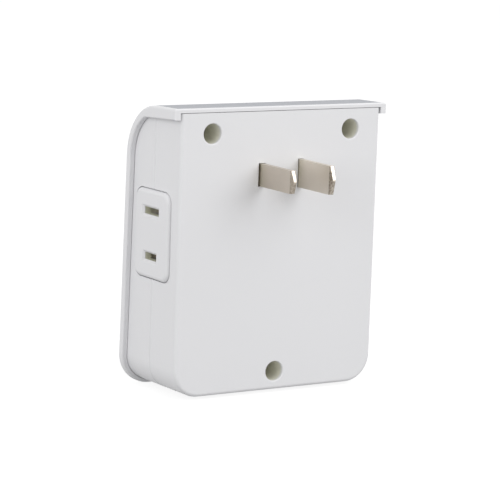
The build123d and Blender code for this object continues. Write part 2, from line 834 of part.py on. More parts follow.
blade_end = shank_width / 2
bus_strip(
    "neutral_bus",
    [
        (neutral_blade_x, blade_end),
        (neutral_blade_x, neutral_bus_z),
        (neutral_tab[0], neutral_bus_z),
        neutral_tab,
    ],
    power_front,
)
bus_strip(
    "hot_bus",
    [(hot_blade_x, blade_end), (hot_blade_x, hot_bus_z), (yoke_pin[0], hot_bus_z), yoke_pin],
    power_back - bus_sheet,
)
bus_strip("switched_bus", [fixed_pin, (hot_tab[0], fixed_pin[1]), hot_tab], power_back - bus_sheet)

# ---------------------------------------------------------------- relay
relay_place = [(relay_x, relay_z)]
relay_inside = (relay_width - 2 * relay_wall, relay_length - 2 * relay_wall)
works_back = relay_floor_front + seat
with BuildPart() as relay_base:
    bar(relay_place, relay_inside[0] - pin_hole, relay_inside[1] - pin_hole, power_front, relay_floor_front)
    bar([yoke_pin], relay_pin + pin_hole, iron + pin_hole, power_front, relay_floor_front, Mode.SUBTRACT)
    fixed_hole = (relay_pin + pin_hole, blade_sheet + pin_hole)
    bar([fixed_pin], *fixed_hole, power_front, relay_floor_front, Mode.SUBTRACT)
    rod(coil_pins, lead_radius + seat, power_front, relay_floor_front, Mode.SUBTRACT)
finish(relay_base, "relay_base")

with BuildPart() as relay_case:
    rounded_bar(relay_place, relay_width, relay_length, relay_wall, power_front, relay_top)
    bar(relay_place, *relay_inside, power_front, relay_top - relay_wall, Mode.SUBTRACT)
finish(relay_case, "relay_case")

with BuildPart() as relay_yoke:
    yoke_middle = (coil_x, (pole_z + leg_z + iron) / 2)
    bar([yoke_middle], 2 * bobbin_radius, leg_z + iron - pole_z, yoke_back, yoke_front)
    bar([yoke_pin], 2 * bobbin_radius, iron, works_back, yoke_back)
    bar([yoke_pin], relay_pin, iron, power_tail, works_back)
    upright([(coil_x, coil_depth)], core_radius + thread_gap, leg_z, leg_z + iron, Mode.SUBTRACT)
finish(relay_yoke, "relay_yoke")

with BuildPart() as relay_core:
    upright([(coil_x, coil_depth)], pole_radius, pole_z, head_z)
    upright([(coil_x, coil_depth)], core_radius, head_z, leg_z + iron)
finish(relay_core, "relay_core")

with BuildPart() as relay_bobbin:
    upright([(coil_x, coil_depth)], bobbin_radius, bobbin_low, bobbin_low + bobbin_wall)
    upright([(coil_x, coil_depth)], bobbin_radius, bobbin_high - bobbin_wall, bobbin_high)
    upright([(coil_x, coil_depth)], bobbin_bore + bobbin_wall, bobbin_low, bobbin_high)
    upright([(coil_x, coil_depth)], bobbin_bore, bobbin_low, bobbin_high, Mode.SUBTRACT)
finish(relay_bobbin, "relay_bobbin")

with BuildPart() as relay_coil:
    coil_ends = (bobbin_low + bobbin_wall + thread_gap, bobbin_high - bobbin_wall - thread_gap)
    upright([(coil_x, coil_depth)], coil_radius, *coil_ends)
    upright([(coil_x, coil_depth)], bobbin_bore + bobbin_wall + thread_gap, *coil_ends, Mode.SUBTRACT)
finish(relay_coil, "relay_coil")

with BuildPart() as relay_coil_pins:
    drop = sqrt(bobbin_radius**2 - (coil_pin_side - lead_radius) ** 2)
    rod(coil_pins, lead_radius, power_tail, coil_depth - drop - seat)
finish(relay_coil_pins, "relay_coil_pins")

with BuildPart() as relay_fixed_contact:
    upright([(contact_x, contact_depth)], contact_radius, fixed_contact_z, fixed_contact_z + contact_height)
    bar([fixed_pin], leaf_width, blade_sheet, works_back, contact_depth + leaf_width / 2)
    bar([fixed_pin], relay_pin, blade_sheet, power_tail, works_back)
finish(relay_fixed_contact, "relay_fixed_contact")

# The armature and its leaf are made open, swung away from the pole about the hinge. On their plane, local
# x is +X, local y runs from the board to the front and the normal points away from the coil.
pulled_in = Plane(origin=(coil_x, -yoke_front, hinge_z), x_dir=(1, 0, 0), z_dir=(0, 0, -1))
let_go = pulled_in.rotated((-relay_travel, 0, 0))
contact_offset = contact_x - coil_x

with BuildPart() as relay_armature:
    with BuildSketch(let_go):
        with Locations((0, -armature_reach / 2)):
            Rectangle(2 * armature_half, armature_reach)
    extrude(amount=iron)
finish(relay_armature, "relay_armature")

with BuildPart() as relay_contact_leaf:
    arm_end = contact_offset + contact_radius + leaf
    strip_length = contact_reach + leaf_width / 2 - leaf_start
    with BuildSketch(let_go.offset(iron)):
        with Locations((0, -leaf_start - strip_length / 2)):
            Rectangle(2 * leaf_half, strip_length)
        with Locations(((arm_end - leaf_half) / 2, -contact_reach)):
            Rectangle(arm_end + leaf_half, leaf_width)
    extrude(amount=leaf)
    with BuildSketch(let_go.offset(iron)):
        with Locations((contact_offset, -contact_reach)):
            Circle(contact_radius)
    extrude(amount=-contact_height)
finish(relay_contact_leaf, "relay_contact_leaf")


# ---------------------------------------------------------------- the other parts on the power board
def lying(places, radius, length, reach, along_x):
    """Parts with a wire out of each end, lying on the power board with the wires bent through it."""
    for x, z in places:
        middle = power_front + 2 * seat + radius
        for size, half in ((radius, length / 2), (lead_radius, reach + 2 * lead_radius)):
            if along_x:
                with BuildSketch(Plane.YZ.offset(x - half)) as section:
                    with Locations((-middle, z)):
                        Circle(size)
                extrude(section.sketch, amount=2 * half)
            else:
                upright([(x, middle)], size, z - half, z + half)
        ends = [(x - reach, z), (x + reach, z)] if along_x else [(x, z - reach), (x, z + reach)]
        rod(ends, lead_radius, power_tail, middle + lead_radius / 2)


with BuildPart() as film_cap:
    film_front = power_front + film_height
    rounded_bar([film_capacitor], film_width, film_length, film_corner, power_front, film_front)
    rod(film_leads, lead_radius, power_tail, power_front)
finish(film_cap, "film_capacitor")

with BuildPart() as electrolytic:
    rod([electrolytic_capacitor], can_radius, power_front + seat, power_front + can_height)
    rod(can_leads, lead_radius, power_tail, power_front + seat)
finish(electrolytic, "electrolytic_capacitor")

with BuildPart() as surge_disc:
    disc_depth = power_front + 5 * seat + disc_radius
    with BuildSketch(Plane.YZ.offset(varistor[0] - disc_sheet / 2)):
        with Locations((-disc_depth, varistor[1])):
            Circle(disc_radius)
    extrude(amount=disc_sheet)
    rod(disc_leads, lead_radius, power_tail, disc_depth - disc_radius / 2)
finish(surge_disc, "varistor")

with BuildPart() as diodes:
    lying(diode_places, diode_radius, diode_length, diode_reach, along_x=False)
finish(diodes, "diodes")

with BuildPart() as dropper:
    lying([resistor], resistor_radius, resistor_length, resistor_reach, along_x=True)
finish(dropper, "resistor")

with BuildPart() as board_header:
    bar([header], header_pins * header_pitch, header_body, power_front, power_front + header_body)
    pin_bore = header_pin + 2 * thread_gap
    bar(header_places, pin_bore, pin_bore, power_front, power_front + header_body, Mode.SUBTRACT)
finish(board_header, "board_header")

with BuildPart() as pins:
    bar(header_places, header_pin, header_pin, power_tail, logic_tail)
finish(pins, "header_pins")

# ---------------------------------------------------------------- logic board and what stands on it
logic_middle = (0, (logic_top - logic_bottom) / 2)
crystal_leads = [(crystal[0] + end * crystal_length / 4, crystal[1]) for end in (-1, 1)]
key_places = [(x, z) for _, x, z, *_ in keys]
with BuildPart() as logic_board:
    logic_size = (2 * logic_half_width, logic_top + logic_bottom)
    rounded_bar([logic_middle], *logic_size, board_corner, logic_depth, logic_front)
    rod(logic_screws, board_screw_radius + clearance, logic_depth, logic_front, Mode.SUBTRACT)
    rod(frame_pegs, frame_peg + seat, logic_depth, logic_front, Mode.SUBTRACT)
    rod(crystal_leads, lead_radius + seat, logic_depth, logic_front, Mode.SUBTRACT)
    bar(header_places, header_pin + pin_hole, header_pin + pin_hole, logic_depth, logic_front, Mode.SUBTRACT)
finish(logic_board, "logic_board")

with BuildPart() as logic_board_screws:
    rod(logic_screws, board_screw_head, logic_depth - board_screw_head_height, logic_depth)
    rod(logic_screws, board_screw_radius, logic_depth, logic_depth + board_screw_length)
finish(logic_board_screws, "logic_board_screws")

with BuildPart() as glob:
    rod([controller], controller_radius, logic_depth - controller_height, logic_depth)
    fillet(glob.edges().sort_by(Axis.Y)[-1], controller_height * 0.7)
finish(glob, "controller")

with BuildPart() as quartz:
    with BuildSketch(Plane.XZ.offset(logic_depth - crystal_height)):
        with Locations(crystal):
            SlotOverall(crystal_length, crystal_width)
    extrude(amount=crystal_height)
    rod(crystal_leads, lead_radius, logic_depth, logic_tail)
finish(quartz, "crystal")

cell_front = logic_depth - cell_drop
cell_back = cell_front - cell_sheet
with BuildPart() as backup_cell:
    rod([cell], cell_radius, cell_back, cell_front)
    chamfer(backup_cell.edges().group_by(Axis.Y)[-1], clip_sheet)
finish(backup_cell, "backup_cell")

with BuildPart() as cell_clip:
    leg = cell_radius + seat + clip_sheet / 2
    strap_back = cell_back - seat - clip_sheet
    bar([cell], 2 * leg + clip_sheet, clip_width, strap_back, strap_back + clip_sheet)
    for side in (-1, 1):
        bar([(cell[0] + side * leg, cell[1])], clip_sheet, clip_width, strap_back, logic_depth)
        foot_x = cell[0] + side * (leg + clip_foot / 2)
        bar([(foot_x, cell[1])], clip_foot, clip_width, logic_depth - clip_sheet, logic_depth)
finish(cell_clip, "cell_clip")

# ---------------------------------------------------------------- display
display_place = [(0, display_z)]
with BuildPart() as lcd_panel:
    bar(display_place, glass_width, glass_height, glass_back, glass_front)
finish(lcd_panel, "lcd_panel")

with BuildPart() as zebra_strips:
    zebra_z = glass_height / 2 - zebra_width / 2 - seat
    zebra_places = [(0, display_z - zebra_z), (0, display_z + zebra_z)]
    bar(zebra_places, glass_width - 2 * seat, zebra_width, logic_front, glass_back)
finish(zebra_strips, "zebra_strips")

with BuildPart() as lcd_frame:
    rounded_bar(display_place, frame_width, frame_height, frame_border - clearance, logic_front, frame_front)
    glass_room = (glass_width + pin_hole, glass_height + pin_hole)
    bar(display_place, *glass_room, logic_front, glass_front, Mode.SUBTRACT)
    view_width = glass_width - 2 * frame_lip_reach
    view_height = glass_height - 2 * frame_lip_reach
    bar(display_place, view_width, view_height, glass_front, frame_front, Mode.SUBTRACT)
    rod(frame_pegs, frame_peg, logic_depth, logic_front)
finish(lcd_frame, "lcd_frame")

# ---------------------------------------------------------------- keys and their switches
for name, x, z, width, height, corner in keys:
    with BuildPart() as cap:
        rounded_bar([(x, z)], width, height, corner, key_flange_back, front_depth(z, 0) + key_proud)
        fillet(cap.faces().sort_by(Axis.Y)[0].edges(), key_round)
        flange_size = (width + 2 * key_flange, height + 2 * key_flange)
        rounded_bar([(x, z)], *flange_size, corner + key_flange, key_flange_back, key_flange_front)
    finish(cap, name)
    with BuildPart() as plunger:
        rod([(x, z)], plunger_radius, plunger_back, plunger_front)
    finish(plunger, f"{name}_plunger")

with BuildPart() as tact_switches:
    bar(key_places, switch_side, switch_side, logic_front, logic_front + switch_height)
    bore_end = plunger_back - key_travel - seat
    rod(key_places, plunger_radius + seat, bore_end, logic_front + switch_height, Mode.SUBTRACT)
finish(tact_switches, "tact_switches")
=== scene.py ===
"""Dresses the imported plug-in timer switch.

Every piece gets its finish. The blades, the case screws and the display glass get rounded edges, and the
keys hollowed fronts. Words, a border and the display's strokes are printed on.

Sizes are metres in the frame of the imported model: +Y goes into the wall, +Z is up, and the origin lies on
the wall face, midway between the two plug blades. A depth is a distance from the wall face towards the
front, along -Y.
"""

import json
from math import radians, tan

import bpy
from mathutils import Matrix, Vector

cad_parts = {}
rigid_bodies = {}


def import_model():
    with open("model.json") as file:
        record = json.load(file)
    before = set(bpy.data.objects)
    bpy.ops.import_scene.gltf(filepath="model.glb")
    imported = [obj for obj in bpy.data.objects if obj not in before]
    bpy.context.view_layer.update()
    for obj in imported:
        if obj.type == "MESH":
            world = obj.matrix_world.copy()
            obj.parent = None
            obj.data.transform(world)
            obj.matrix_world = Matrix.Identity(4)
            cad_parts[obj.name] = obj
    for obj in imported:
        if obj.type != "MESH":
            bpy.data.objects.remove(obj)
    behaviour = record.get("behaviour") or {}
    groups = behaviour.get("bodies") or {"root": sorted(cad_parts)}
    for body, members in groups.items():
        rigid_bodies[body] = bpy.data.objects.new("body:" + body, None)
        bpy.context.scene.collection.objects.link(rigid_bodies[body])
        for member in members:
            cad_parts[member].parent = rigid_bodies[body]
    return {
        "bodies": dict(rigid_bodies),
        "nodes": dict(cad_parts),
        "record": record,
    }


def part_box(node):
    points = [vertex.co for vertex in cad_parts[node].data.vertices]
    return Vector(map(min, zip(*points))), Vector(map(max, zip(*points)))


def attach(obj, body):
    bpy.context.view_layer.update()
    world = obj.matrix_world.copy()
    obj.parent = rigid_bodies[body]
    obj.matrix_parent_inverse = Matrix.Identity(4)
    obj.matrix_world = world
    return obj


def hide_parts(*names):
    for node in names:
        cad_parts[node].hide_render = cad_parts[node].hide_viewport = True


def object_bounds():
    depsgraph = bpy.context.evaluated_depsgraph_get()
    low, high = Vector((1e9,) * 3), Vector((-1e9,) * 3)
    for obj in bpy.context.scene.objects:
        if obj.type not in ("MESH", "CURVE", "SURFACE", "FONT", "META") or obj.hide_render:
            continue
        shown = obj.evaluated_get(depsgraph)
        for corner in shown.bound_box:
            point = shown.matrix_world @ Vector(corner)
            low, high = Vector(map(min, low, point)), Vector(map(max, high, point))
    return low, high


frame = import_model()
cad_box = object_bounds()

mm = 0.001
case_low, case_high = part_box("rear_housing")
film_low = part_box("face_overlay")[0]
glass_low, glass_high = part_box("lcd_panel")
plate_low, plate_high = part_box("outlet_faceplate")
front_lean = radians(1.5)  # the front leans out towards the bottom

# Wells for the case screws, each (x, z), and the outlet's two slots
well_radius = 2.8 * mm
well_depth = 11.0 * mm
wells = [(22.6 * mm, 11.9 * mm), (-22.6 * mm, 11.9 * mm), (0, -56.0 * mm)]
slot_depth = 13.85 * mm
slot_half = 4.3 * mm  # along the depth
slot_half_height = 1.1 * mm
slot_heights = (-10.95 * mm, -23.65 * mm)
slot_bevel = 0.6 * mm

# The tips of the plug blades
blade_bevel = 1.5 * mm  # length of the bevels on both faces
blade_tip_half = 0.4 * mm  # half the thickness left between them
blade_point = 1.3 * mm  # the tip's middle stands this far beyond its corners

key_flange = 0.9 * mm  # hidden rim around each cap
key_edge = 0.4 * mm  # rounding of its front edge


def front_depth(height):
    """Distance from the wall face to the front of the film at a height."""
    return -film_low.y - (height - film_low.z) * tan(front_lean)


# ---------------------------------------------------------------- shader maths
class Signal:
    """An output of a node. Arithmetic on it adds Math nodes to the same tree."""

    def __init__(self, recipe, socket):
        self.recipe = recipe
        self.socket = socket

    def maths(self, operation, *values):
        return self.recipe.node("Math", {"operation": operation}, dict(enumerate(values)))

    def __add__(self, other):
        return self.maths("ADD", self, other)

    def __sub__(self, other):
        return self.maths("SUBTRACT", self, other)

    def __rsub__(self, other):
        return self.maths("SUBTRACT", other, self)

    def __mul__(self, other):
        return self.maths("MULTIPLY", self, other)

    def __abs__(self):
        return self.maths("ABSOLUTE", self)

    __radd__ = __add__
    __rmul__ = __mul__


class Recipe:
    """The node tree of one material or of the world."""

    def __init__(self, owner):
        owner.use_nodes = True
        self.tree = owner.node_tree

    def node(self, kind, settings=None, sockets=None, output=0):
        """Add a node by its type, then its settings, then the values or links of its sockets."""
        made = self.tree.nodes.new("ShaderNode" + kind)
        for name, value in (settings or {}).items():
            setattr(made, name, value)
        for name, value in (sockets or {}).items():
            self.plug(made.inputs[name], value)
        return Signal(self, made.outputs[output])

    def plug(self, socket, value):
        """Link a signal to a socket, or set the socket's own value."""
        if isinstance(value, Signal):
            self.tree.links.new(value.socket, socket)
        else:
            socket.default_value = value

    def mixed(self, share, first, second):
        """A colour between two colours."""
        return self.node("Mix", {"data_type": "RGBA"}, {0: share, 6: first, 7: second}, output=2)

    def smooth_step(self, value, low, high):
        """0 at low and 1 at high, with a soft rise between them, and level beyond both."""
        sockets = {"Value": value, "From Min": low, "From Max": high}
        return self.node("MapRange", {"interpolation_type": "SMOOTHSTEP"}, sockets)


class Finish(Recipe):
    """A procedural material on the Principled shader, patterned on the piece's own coordinates."""

    def __init__(self, name, **fixed):
        self.material = bpy.data.materials.new(name)
        super().__init__(self.material)
        self.shader = self.tree.nodes["Principled BSDF"]
        self.place = self.node("TexCoord", output="Object")
        for socket, value in fixed.items():
            self.set(socket.replace("_", " ").title().replace("Ior", "IOR"), value)

    def set(self, socket, value):
        self.plug(self.shader.inputs[socket], value)

    def along(self, axis):
        """The piece's own X, Y or Z coordinate, by its number."""
        return self.node("SeparateXYZ", sockets={"Vector": self.place}, output=axis)

    def stretched(self, axis, factor):
        """The piece's coordinates scaled on one axis, for marks that run along it."""
        scale = [1.0, 1.0, 1.0]
        scale[axis] = factor
        return self.node("Mapping", sockets={"Vector": self.place, "Scale": scale})

    def noise(self, size, detail, place=None, roughness=0.5):
        """Noise whose lumps are about one size across."""
        sockets = {
            "Vector": place or self.place,
            "Scale": 1 / size,
            "Detail": detail,
            "Roughness": roughness,
        }
        return self.node("TexNoise", sockets=sockets)

    def clouded(self, colour, share, spread):
        """A colour that a pattern makes a little darker and lighter."""
        return self.mixed(share, shade(colour, 1 - spread), shade(colour, 1 + spread))

    def bump(self, height, depth, strength):
        """Tilt the surface by a pattern whose full height is depth."""
        sockets = {"Strength": strength, "Distance": depth, "Height": height}
        self.set("Normal", self.node("Bump", sockets=sockets, output="Normal"))


def shade(colour, factor):
    """A colour made lighter or darker."""
    return tuple(channel * factor for channel in colour) + (1.0,)


# ---------------------------------------------------------------- finishes
plastic_shine = 0.42
flow_size = 26 * mm  # broad marks left where the plastic flowed
grain_size = 0.16 * mm  # grain of the spark-eroded moulds
grain_relief = 0.012 * mm


def moulding_marks(finish, relief=grain_relief):
    """Flow marks and grain, as two noises. The grain also tilts the surface."""
    flow = finish.noise(flow_size, detail=3)
    grain = finish.noise(grain_size, detail=3, roughness=0.65)
    finish.bump(grain, relief, strength=0.6)
    return flow, grain


def moulded(name, colour, roughness, relief=grain_relief):
    """Injection-moulded plastic, with faint blotches in colour and gloss."""
    finish = Finish(name, specular_ior_level=plastic_shine)
    flow, grain = moulding_marks(finish, relief)
    finish.set("Base Color", finish.clouded(colour, flow, spread=0.03))
    finish.set("Roughness", roughness - 0.05 + flow * 0.06 + grain * 0.05)
    return finish.material


def inside_wells(finish):
    """1 within the screw wells, from a little below their rims down to their floors, where the case's
    colour gets painted shade.
    """
    outer = well_radius + 0.12 * mm
    inner = well_radius + 0.04 * mm
    shade_starts = -0.35 * mm
    shade_full = -1.4 * mm
    floor_fade = 1 * mm
    flat = finish.node("VectorMath", {"operation": "MULTIPLY"}, {0: finish.place, 1: (1, 0, 1)})
    inside = 0
    for x, z in wells:
        ends = {0: flat, 1: (x, 0, z)}
        span = finish.node("VectorMath", {"operation": "DISTANCE"}, ends, output="Value")
        inside = finish.smooth_step(span, outer, inner) + inside
    into_wall = finish.along(1)
    below_rim = finish.smooth_step(into_wall, shade_starts, shade_full)
    above_floor = finish.smooth_step(into_wall, -well_depth - floor_fade, -well_depth)
    return inside * below_rim * above_floor


def inside_slots(finish):
    """1 within the outlet's slots, below their bevels, where the case's colour gets painted shade."""
    fade = 0.06 * mm
    back_fade = 1 * mm
    shade_starts = plate_high.x - slot_bevel
    shade_full = plate_high.x - 1.6 * slot_bevel
    across = abs(finish.along(1) + slot_depth)
    inside = 0
    for height in slot_heights:
        away = abs(finish.along(2) - height)
        inside = finish.smooth_step(away, slot_half_height, slot_half_height - fade) + inside
    inside = inside * finish.smooth_step(across, slot_half, slot_half - fade)
    side = finish.along(0)
    below_bevel = finish.smooth_step(side, shade_starts, shade_full)
    within_plate = finish.smooth_step(side, plate_low.x - back_fade, plate_low.x)
    return inside * below_bevel * within_plate


def case_white():
    """The white of the case, with painted shade: an olive tint in its wells and slots, darker at the mouths
    of the slots.
    """
    # Painted shade in the recesses: an olive tint inside the wells and deep in the slots, and a darker one
    # at the slots' mouths
    recess_shade = (0.82, 0.81, 0.69, 1)
    mouth_shade = (0.7, 0.7, 0.54, 1)
    mouth_shade_starts = plate_high.x - 4.5 * mm
    mouth_shade_full = plate_high.x - 3 * mm
    finish = Finish("case_white", specular_ior_level=plastic_shine)
    flow, grain = moulding_marks(finish)
    white = finish.clouded((0.775, 0.775, 0.79), flow, spread=0.015)
    # A mottle in the painted shade of the wells and slots
    shade_mottle = finish.noise(0.7 * mm, detail=4, roughness=0.6) * 0.45 + 0.6
    mouth = finish.smooth_step(finish.along(0), mouth_shade_starts, mouth_shade_full)
    wells_shaded = finish.mixed(inside_wells(finish) * shade_mottle, white, recess_shade)
    in_slots = finish.mixed(mouth, recess_shade, mouth_shade)
    finish.set("Base Color", finish.mixed(inside_slots(finish) * shade_mottle, wells_shaded, in_slots))
    finish.set("Roughness", 0.38 + flow * 0.06 + grain * 0.06)
    return finish.material


def face_film():
    """The printed film on the front: satin silver-grey ink under a fine matt lacquer."""
    finish = Finish("face_film", specular_ior_level=0.3)
    flake = finish.noise(0.09 * mm, detail=2, roughness=0.7)
    cloud = finish.noise(30 * mm, detail=2)
    uneven = flake * 0.7 + cloud * 0.3
    finish.set("Base Color", finish.clouded((0.4, 0.41, 0.44), uneven, spread=0.04))
    finish.set("Roughness", 0.5 + cloud * 0.05 + flake * 0.08)
    finish.bump(flake, 0.004 * mm, strength=0.5)
    return finish.material


def clear_window():
    """The clear display window, with a faint haze."""
    finish = Finish("clear_window", alpha=0.06, specular_ior_level=0.5)
    haze = finish.noise(6 * mm, detail=2)
    finish.set("Base Color", finish.mixed(haze, (0.8, 0.83, 0.84, 1), (0.86, 0.88, 0.88, 1)))
    finish.set("Roughness", 0.05 + haze * 0.05)
    return finish.material


def drawn_marks(finish, run):
    """Fine marks that run along one axis, as a noise. They also tilt the surface."""
    drawn = finish.stretched(run, factor=0.04)
    marks = finish.noise(0.12 * mm, detail=4, place=drawn, roughness=0.6)
    finish.bump(marks, 0.006 * mm, strength=0.5)
    return marks


def drawn_metal(name, colour, roughness, run, worn=0.12):
    """Plated or bare metal with fine marks that run along one axis."""
    finish = Finish(name, metallic=1.0)
    marks = drawn_marks(finish, run)
    tarnish = finish.noise(2.5 * mm, detail=4)
    finish.set("Base Color", finish.clouded(colour, marks * 0.5 + tarnish * 0.5, worn))
    finish.set("Roughness", roughness - 0.06 + marks * 0.12)
    return finish.material


def blade_plating(node, colour, tip_darkness):
    """Nickel plating on a plug blade: drawn along its length, and darkened brown at the stamped tip, on its
    bevels and, as painted shade, on the lower half of its end.
    """
    brown = (0.1, 0.075, 0.05, 1)
    olive = (0.5, 0.48, 0.36, 1)
    root_length = 5 * mm
    half_fade = 0.15 * mm
    side_fade = 0.05 * mm
    fade_starts = -0.1 * mm
    fade_ends = 0.02 * mm
    low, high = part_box(node)
    finish = Finish(node + "_plating", metallic=1.0)
    marks = drawn_marks(finish, run=1)
    tarnish = finish.noise(3 * mm, detail=4)
    plating = finish.clouded(colour, marks * 0.5 + tarnish * 0.5, spread=0.07)
    along = finish.along(1)

    def last_stretch(length):
        """1 on the end of the blade, from a length before its tip."""
        start = high.y - length
        return finish.smooth_step(along, start + fade_starts, start + fade_ends)

    from_middle = abs(finish.along(0) - (low.x + high.x) / 2)
    beside = finish.smooth_step(from_middle, blade_tip_half, blade_tip_half + side_fade)
    bevels = last_stretch(blade_bevel) * beside
    lower_half = finish.smooth_step(finish.along(2), half_fade, -half_fade)
    # Painted shade: the lower half of the pointed end, which faces down, is made dark
    under = lower_half * last_stretch(blade_point) * (1 - beside)
    streaked = finish.smooth_step(finish.noise(0.5 * mm, detail=4), 0.3, 0.6) * 0.5 + 0.5
    # Brown on the bevels and painted shade on the lower end, broken up by streaks and scaled per blade
    darkened_tip = (bevels + under) * streaked * tip_darkness
    root = finish.smooth_step(along, root_length, 0.0) * tarnish * 0.8
    finish.set("Base Color", finish.mixed(darkened_tip, finish.mixed(root, plating, olive), brown))
    finish.set("Roughness", 0.3 + marks * 0.12 + darkened_tip * 0.12)
    return finish.material


def board_green():
    """Solder mask over copper tracks."""
    over_copper = (0.05, 0.26, 0.1, 1)
    over_board = (0.02, 0.12, 0.05, 1)
    track_spacing = 3.2 * mm
    finish = Finish("board_green", specular_ior_level=0.5)
    sockets = {"Vector": finish.place, "Scale": 1 / track_spacing, "Randomness": 0.6}
    cells = finish.node("TexVoronoi", {"distance": "MANHATTAN", "feature": "F1"}, sockets)
    bare = finish.smooth_step(abs(cells - 0.45), 0.03, 0.06)
    finish.set("Base Color", finish.mixed(bare, over_copper, over_board))
    finish.set("Roughness", 0.28 + bare * 0.1)
    finish.bump(bare, 0.03 * mm, strength=0.4)
    return finish.material


def lcd_glass():
    """The display glass: grey-green, a little uneven in tint and gloss."""
    finish = Finish("lcd_glass", specular_ior_level=0.5)
    tint = finish.noise(9 * mm, detail=2)
    finish.set("Base Color", finish.mixed(tint, (0.33, 0.37, 0.29, 1), (0.37, 0.41, 0.32, 1)))
    finish.set("Roughness", 0.2 + tint * 0.1)
    return finish.material


# Colour and roughness of each moulded plastic, rubber or coating that is the same all over
plain_plastics = {
    "black_plastic": ((0.03, 0.03, 0.032), 0.45),
    "plunger_black": ((0.022, 0.022, 0.024), 0.5),
    "relay_blue": ((0.05, 0.14, 0.38), 0.3),
    "capacitor_yellow": ((0.7, 0.47, 0.07), 0.28),
    "capacitor_sleeve": ((0.03, 0.04, 0.08), 0.22),
    "varistor_blue": ((0.07, 0.2, 0.5), 0.35),
    "resistor_body": ((0.32, 0.44, 0.5), 0.4),
    "frame_grey": ((0.15, 0.15, 0.16), 0.5),
    "zebra_rubber": ((0.42, 0.28, 0.28), 0.6),
    "key_grey": ((0.7, 0.7, 0.72), 0.4),
    "key_dark": ((0.2, 0.21, 0.23), 0.42),
}

finishes = {
    "case_white": case_white(),
    "face_film": face_film(),
    "clear_window": clear_window(),
    "blade_nickel": drawn_metal("blade_nickel", (0.66, 0.605, 0.53), 0.36, run=1, worn=0.06),
    "hot_plating": blade_plating("hot_blade", (0.61, 0.55, 0.475), tip_darkness=0.65),
    "neutral_plating": blade_plating("neutral_blade", (0.76, 0.7, 0.615), tip_darkness=0.75),
    "screw_steel": drawn_metal("screw_steel", (0.42, 0.42, 0.35), 0.42, run=0),
    "contact_brass": drawn_metal("contact_brass", (0.8, 0.68, 0.42), 0.5, run=0),
    "bus_copper": drawn_metal("bus_copper", (0.62, 0.34, 0.2), 0.32, run=0),
    "relay_iron": drawn_metal("relay_iron", (0.36, 0.36, 0.37), 0.45, run=2),
    "board_green": board_green(),
    "lcd_glass": lcd_glass(),
    "ink": moulded("ink", (0.045, 0.047, 0.055), 0.45, relief=0.002 * mm),
    "lcd_ink": moulded("lcd_ink", (0.016, 0.02, 0.02), 0.45, relief=0.001 * mm),
    "lcd_ghost": moulded("lcd_ghost", (0.29, 0.325, 0.25), 0.3, relief=0.001 * mm),
}
for name, (colour, roughness) in plain_plastics.items():
    finishes[name] = moulded(name, colour, roughness)

# ---------------------------------------------------------------- modelling
merge_reach = 0.0005 * mm  # points closer than this are one
flat_angle = radians(0.3)  # faces that turn less than this are one
smooth_angle = radians(32)
edge_segments = 2


def only(piece):
    """Make one piece the active object and the only one selected."""
    bpy.ops.object.select_all(action="DESELECT")
    piece.select_set(True)
    bpy.context.view_layer.objects.active = piece


def edit(piece, *steps):
    """Run steps on the whole mesh in edit mode."""
    only(piece)
    bpy.ops.object.mode_set(mode="EDIT")
    bpy.ops.mesh.select_all(action="SELECT")
    for step in steps:
        step()
    bpy.ops.object.mode_set(mode="OBJECT")


def merge_points():
    """Merge the points that are selected and lie on each other."""
    bpy.ops.mesh.remove_doubles(threshold=merge_reach)


def soften(piece, width, corner):
    """Round every edge sharper than an angle, with a bevel that is applied."""
    only(piece)
    bevel = piece.modifiers.new("edges", "BEVEL")
    bevel.width = width
    bevel.segments = edge_segments
    bevel.limit_method = "ANGLE"
    bevel.angle_limit = radians(corner)
    bevel.use_clamp_overlap = True
    bevel.miter_outer = "MITER_ARC"
    bpy.ops.object.modifier_apply(modifier=bevel.name)


def smooth(piece):
    """Shade smooth except across sharp edges, with the larger faces kept flat."""
    only(piece)
    bpy.ops.object.shade_smooth_by_angle(angle=smooth_angle)
    weighted = piece.modifiers.new("flat faces", "WEIGHTED_NORMAL")
    weighted.keep_sharp = True
    bpy.ops.object.modifier_apply(modifier=weighted.name)


def cut_away(piece, tool):
    """Cut a tool's shape out of a piece, and throw the tool away."""
    cut = piece.modifiers.new("cut", "BOOLEAN")
    cut.object = tool
    only(piece)
    bpy.ops.object.modifier_apply(modifier=cut.name)
    bpy.data.objects.remove(tool)


def settle(piece, finish, body="case", stands_for=()):
    """Give a finished piece its finish, its body and the nodes that it stands for."""
    piece.data.materials.clear()
    piece.data.materials.append(finishes[finish])
    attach(piece, body)
    if stands_for:
        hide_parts(*stands_for)


def fresh(add, name, **sizes):
    """Add a primitive with nothing else selected, and name it."""
    bpy.ops.object.select_all(action="DESELECT")
    add(**sizes)
    piece = bpy.context.object
    piece.name = name
    piece.data.name = name
    return piece


def put(piece, place, turn=(0, 0, 0)):
    """Move and turn a piece, and bring its place into its mesh."""
    only(piece)
    piece.location = place
    piece.rotation_euler = turn
    bpy.ops.object.transform_apply(location=True, rotation=True, scale=True)
    return piece


def stand(piece, x, depth, height, lean=0.0):
    """Turn a flat piece drawn in the XY plane up to face the front, at its place."""
    put(piece, (x, -depth, height), (radians(90) - lean, 0, 0))


def joined(pieces, name):
    """Join pieces into the first of them."""
    only(pieces[0])
    for piece in pieces:
        piece.select_set(True)
    bpy.ops.object.join()
    pieces[0].name = name
    pieces[0].data.name = name
    return pieces[0]


